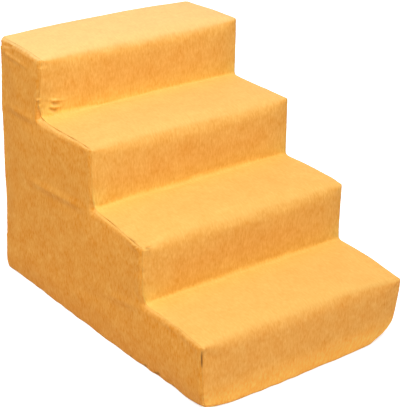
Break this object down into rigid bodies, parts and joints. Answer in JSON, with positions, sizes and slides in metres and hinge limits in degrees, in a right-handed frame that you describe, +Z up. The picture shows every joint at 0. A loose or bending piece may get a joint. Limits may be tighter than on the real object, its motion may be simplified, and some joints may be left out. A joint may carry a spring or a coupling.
{
  "type": "pet stairs",
  "caption": "Soft foam pet stairs under a fitted velour cover with a non-slip base and a zip across the back.",
  "frame": {"origin": "middle of the footprint, on the floor", "axes": "+Y is the climbing direction, from the lowest step to the back; +X is to the climber's right; +Z is up"},
  "size_m": [0.408, 0.6054, 0.4418],
  "materials": {
    "velour": "mustard velour with a short nap, brushed lengthways into faint streaks",
    "foam": "cream open-cell foam, cut faces",
    "base_cloth": "dark woven non-slip cloth with rubbery dots",
    "zip_tape": "ochre woven polyester tape",
    "zip_teeth": "ochre moulded plastic teeth",
    "zip_metal": "cast zinc with a satin nickel finish"
  },
  "bodies": {
    "root": {"foam_slab_1": "foam", "foam_slab_2": "foam", "foam_slab_3": "foam", "foam_slab_4": "foam", "step_panel": "velour", "side_panel_left": "velour", "side_panel_right": "velour", "back_panel_upper": "velour", "back_panel_lower": "velour", "base_panel": "base_cloth", "zip_tape_upper": "zip_tape", "zip_tape_lower": "zip_tape", "zip_teeth_upper": "zip_teeth", "zip_teeth_lower": "zip_teeth", "zip_bottom_stop": "zip_metal", "zip_top_stops": "zip_metal"},
    "zip_slider": {"zip_slider": "zip_metal"},
    "zip_pull": {"zip_pull": "zip_metal"}
  },
  "joints": [
    {"name": "zip_slide", "type": "slide", "parent": "root", "child": "zip_slider", "axis": [-1, 0, 0], "range_m": [0, 0.329], "deforming": ["zip_teeth_upper", "zip_teeth_lower"]},
    {"name": "pull_swing", "type": "hinge", "parent": "zip_slider", "child": "zip_pull", "pos_m": [0.16584, 0.30025, 0.068], "axis": [0, 0, -1], "range_deg": [0, 170]}
  ]
}
